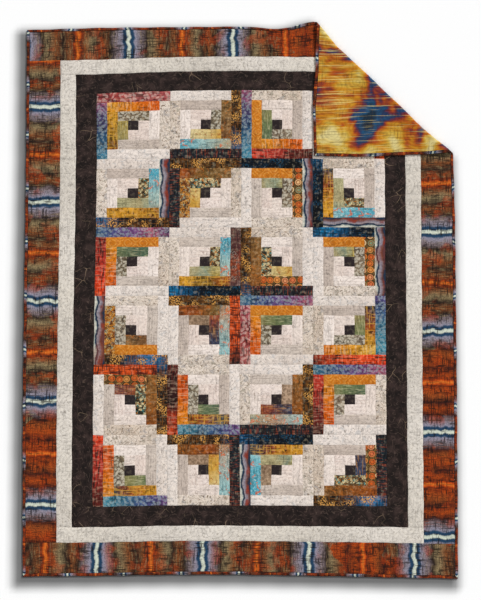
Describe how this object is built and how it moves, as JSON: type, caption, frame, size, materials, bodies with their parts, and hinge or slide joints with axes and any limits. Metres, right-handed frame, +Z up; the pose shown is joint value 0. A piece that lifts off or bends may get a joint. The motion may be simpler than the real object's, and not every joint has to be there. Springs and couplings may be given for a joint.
{
  "type": "log cabin quilt",
  "caption": "Pieced and quilted bed throw of log cabin blocks with borders and a bound edge, lying face up with its top right corner folded over.",
  "frame": {"origin": "on the surface that the quilt lies on, under the middle of its bounding box", "axes": "+Z up out of the quilt's face, +Y towards its top edge, +X towards its right edge as seen from above"},
  "size_m": [1.593, 2.142, 0.018],
  "materials": {
    "patchwork": "quilted printed cotton patches, cream, ochre, olive, teal, rust and navy",
    "charcoal": "quilted near-black cotton with fine pale veins",
    "ivory": "quilted ivory cotton",
    "banded_print": "quilted cotton, printed in rust, brown, olive and ivory bands",
    "backing_print": "printed cotton, brushed gold, orange and blue",
    "binding": "folded cotton strip, rust with navy and ivory dashes"
  },
  "bodies": {
    "root": {"block_r1_c1": "patchwork", "block_r1_c2": "patchwork", "block_r1_c3": "patchwork", "block_r1_c4": "patchwork", "block_r2_c1": "patchwork", "block_r2_c2": "patchwork", "block_r2_c3": "patchwork", "block_r2_c4": "patchwork", "block_r3_c1": "patchwork", "block_r3_c2": "patchwork", "block_r3_c3": "patchwork", "block_r3_c4": "patchwork", "block_r4_c1": "patchwork", "block_r4_c2": "patchwork", "block_r4_c3": "patchwork", "block_r4_c4": "patchwork", "block_r5_c1": "patchwork", "block_r5_c2": "patchwork", "block_r5_c3": "patchwork", "block_r5_c4": "patchwork", "block_r6_c1": "patchwork", "block_r6_c2": "patchwork", "block_r6_c3": "patchwork", "block_r6_c4": "patchwork", "inner_border_left": "charcoal", "inner_border_right": "charcoal", "inner_border_top": "charcoal", "inner_border_bottom": "charcoal", "middle_border_left": "ivory", "middle_border_right": "ivory", "middle_border_top": "ivory", "middle_border_bottom": "ivory", "outer_border_left": "banded_print", "outer_border_right": "banded_print", "outer_border_top": "banded_print", "outer_border_bottom": "banded_print", "backing": "backing_print", "binding_left": "binding", "binding_right": "binding", "binding_top": "binding", "binding_bottom": "binding"}
  },
  "joints": []
}
